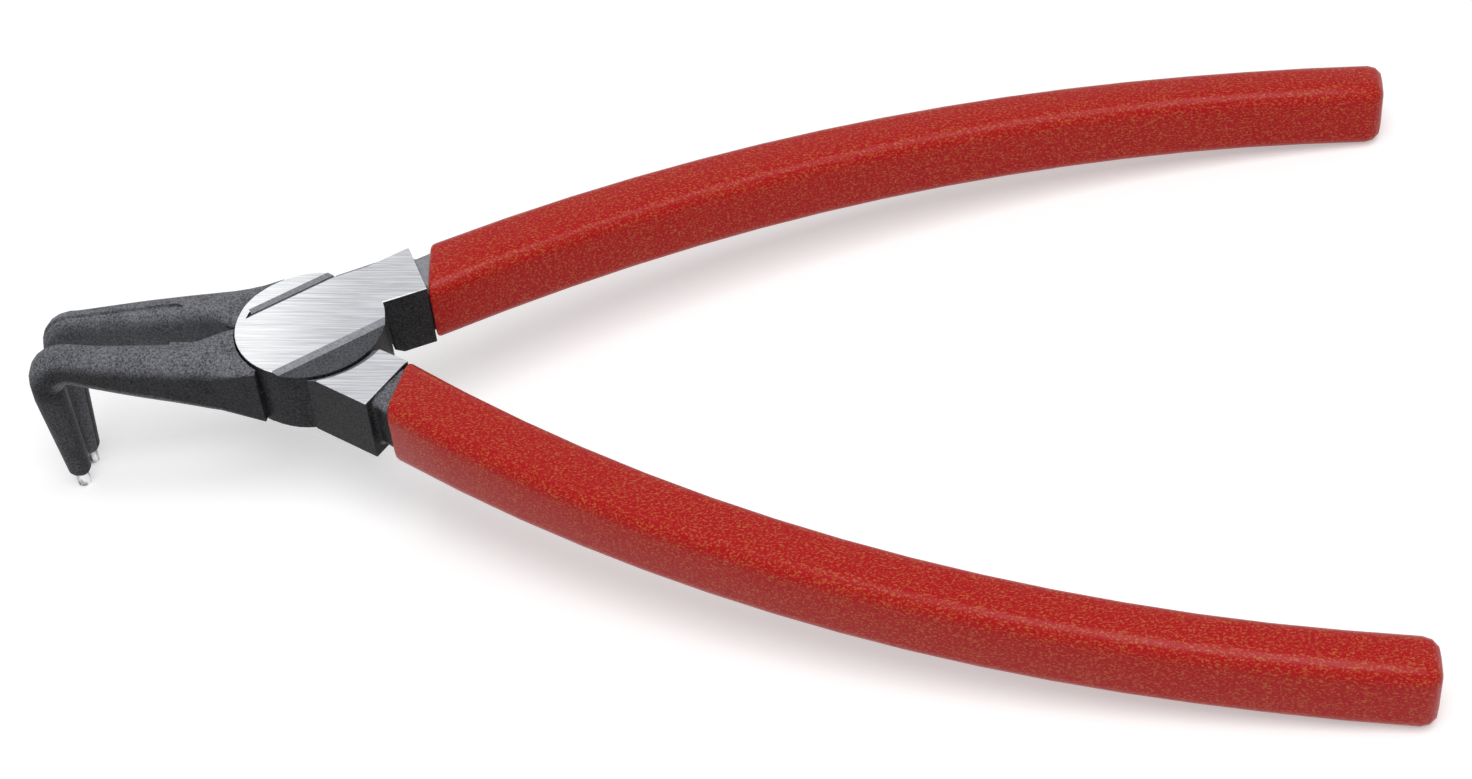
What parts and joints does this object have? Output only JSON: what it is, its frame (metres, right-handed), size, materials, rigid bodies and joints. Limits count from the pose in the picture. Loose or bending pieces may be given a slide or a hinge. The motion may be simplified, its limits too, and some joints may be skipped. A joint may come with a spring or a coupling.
{
  "type": "external circlip pliers",
  "caption": "External circlip pliers with right-angled tips: two lap-jointed forged levers with dipped handles, opened at the tips by squeezing against a return spring.",
  "frame": {"origin": "on the pivot axis at the ground front face of the joint", "axes": "+Z out of the ground front face along the pivot axis, +X along the middle plane towards the handle ends, tips point to -Z, +Y towards the upper handle"},
  "size_m": [0.1797, 0.112, 0.029],
  "materials": {
    "black_steel": "black phosphate on forged steel, front and back faces ground bright",
    "bright_steel": "ground spring steel",
    "spring_steel": "drawn spring wire",
    "red_vinyl": "dipped vinyl, satin"
  },
  "bodies": {
    "lower": {"lower_lever": "black_steel", "lower_tip_pin": "bright_steel", "lower_grip": "red_vinyl", "return_spring": "spring_steel"},
    "upper": {"upper_lever": "black_steel", "upper_tip_pin": "bright_steel", "upper_grip": "red_vinyl", "pivot_rivet": "bright_steel"}
  },
  "joints": [
    {"name": "pivot", "type": "hinge", "parent": "lower", "child": "upper", "pos_m": [0, 0, 0], "axis": [0, 0, 1], "range_deg": [-32, 0], "stiffness_Nm_per_rad": 0.6, "springref_deg": 20.05, "deforming": ["return_spring"]}
  ]
}
